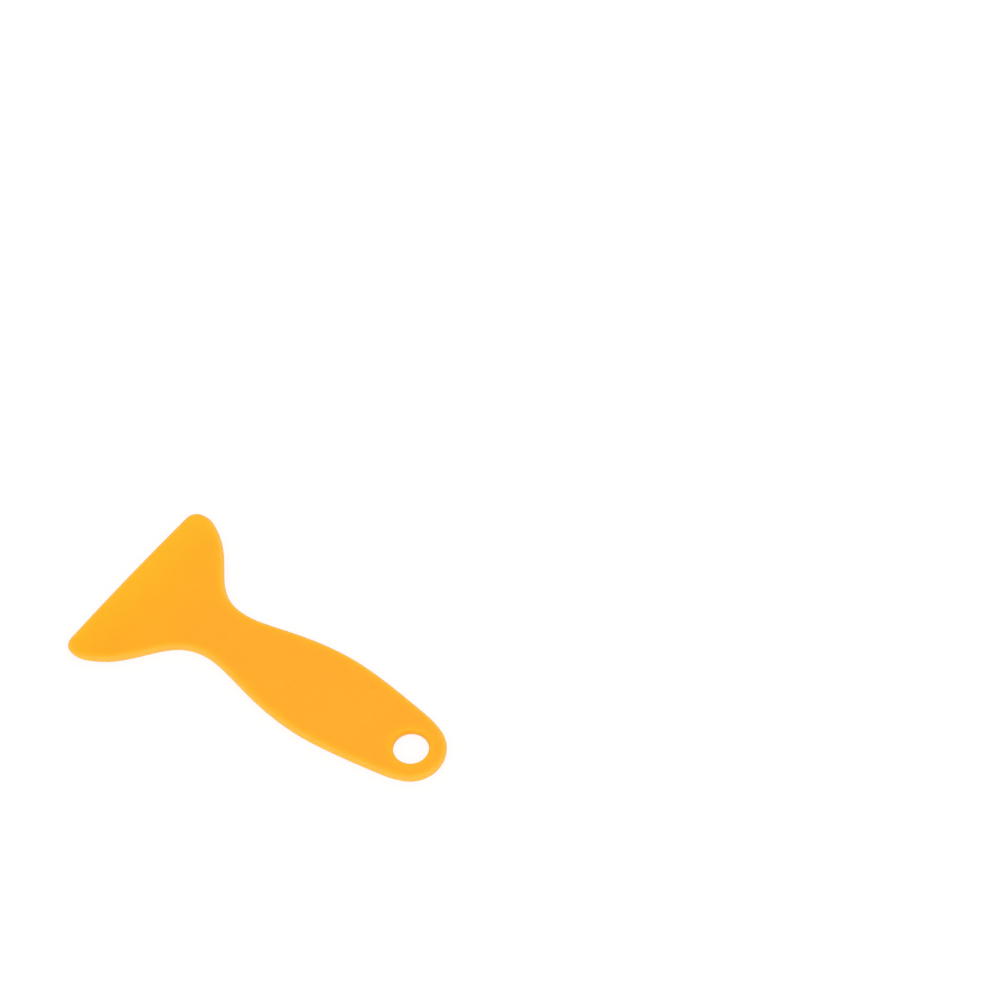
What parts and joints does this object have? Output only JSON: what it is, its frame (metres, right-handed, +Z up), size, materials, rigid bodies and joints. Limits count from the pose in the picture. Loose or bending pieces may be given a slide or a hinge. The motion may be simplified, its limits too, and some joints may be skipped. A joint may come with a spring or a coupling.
{
  "type": "squeegee applicator",
  "caption": "Flat moulded plastic hand squeegee with a wide, almost straight blade, a narrow waist, a rounded grip and a hanging hole, for smoothing self-adhesive film onto a surface.",
  "frame": {"origin": "on the plane of the flat underside, at the middle of the length and of the width", "axes": "+X along the length, from the blade edge to the end of the handle; +Y across the blade; +Z up, from the underside to the flat top face"},
  "size_m": [0.1122, 0.0588, 0.0025],
  "materials": {
    "orange_plastic": "satin"
  },
  "bodies": {
    "root": {"squeegee_body": "orange_plastic"}
  },
  "joints": []
}
